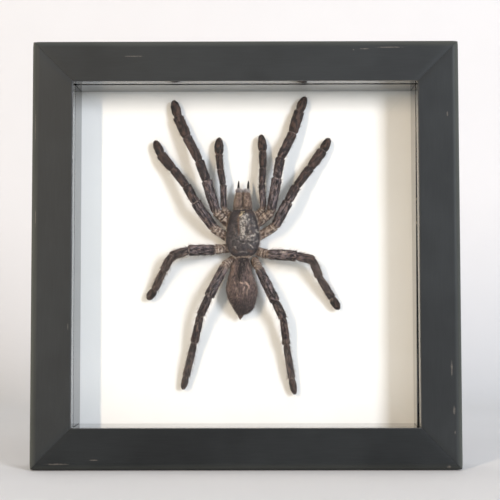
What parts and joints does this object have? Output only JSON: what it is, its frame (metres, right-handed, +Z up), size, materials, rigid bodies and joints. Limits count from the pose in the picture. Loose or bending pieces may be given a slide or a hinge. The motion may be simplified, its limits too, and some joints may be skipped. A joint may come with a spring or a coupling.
{
  "type": "framed tarantula specimen",
  "caption": "Dried, spread tarantula on a white card behind glass in a square, deep charcoal box frame that stands on its bottom rail or hangs from its back.",
  "frame": {"origin": "under the middle of the frame, on the surface it stands on", "axes": "+X to the right as seen from the front, +Y from the glass to the back, +Z up towards the spider's head"},
  "size_m": [0.237, 0.035, 0.237],
  "materials": {
    "moulding": "satin charcoal paint on wood moulding, rubbed at the outer edges",
    "glass": "clear picture glass",
    "spacer": "glossy black strip",
    "card": "matte white mount card",
    "fibreboard": "bare brown fibreboard",
    "steel": "zinc plated pressed steel",
    "cuticle": "dark brown dried cuticle with fine hair",
    "hide": "brown haired skin, dried",
    "claw": "shiny black horn"
  },
  "bodies": {
    "root": {"abdomen": "hide", "back_board": "fibreboard", "backing_card": "card", "cephalothorax": "cuticle", "chelicera_left": "hide", "chelicera_right": "hide", "fang_left": "claw", "fang_right": "claw", "glass_pane": "glass", "hanger_rivet_left": "steel", "hanger_rivet_right": "steel", "leg_1_left": "cuticle", "leg_1_right": "cuticle", "leg_2_left": "cuticle", "leg_2_right": "cuticle", "leg_3_left": "cuticle", "leg_3_right": "cuticle", "leg_4_left": "cuticle", "leg_4_right": "cuticle", "pedipalp_left": "cuticle", "pedipalp_right": "cuticle", "rail_bottom": "moulding", "rail_left": "moulding", "rail_right": "moulding", "rail_top": "moulding", "retaining_tab_bottom_1": "steel", "retaining_tab_bottom_2": "steel", "retaining_tab_left_1": "steel", "retaining_tab_left_2": "steel", "retaining_tab_right_1": "steel", "retaining_tab_right_2": "steel", "retaining_tab_top_1": "steel", "retaining_tab_top_2": "steel", "sawtooth_hanger": "steel", "spacer_bottom": "spacer", "spacer_left": "spacer", "spacer_right": "spacer", "spacer_top": "spacer", "spinneret_left": "hide", "spinneret_right": "hide"}
  },
  "joints": []
}
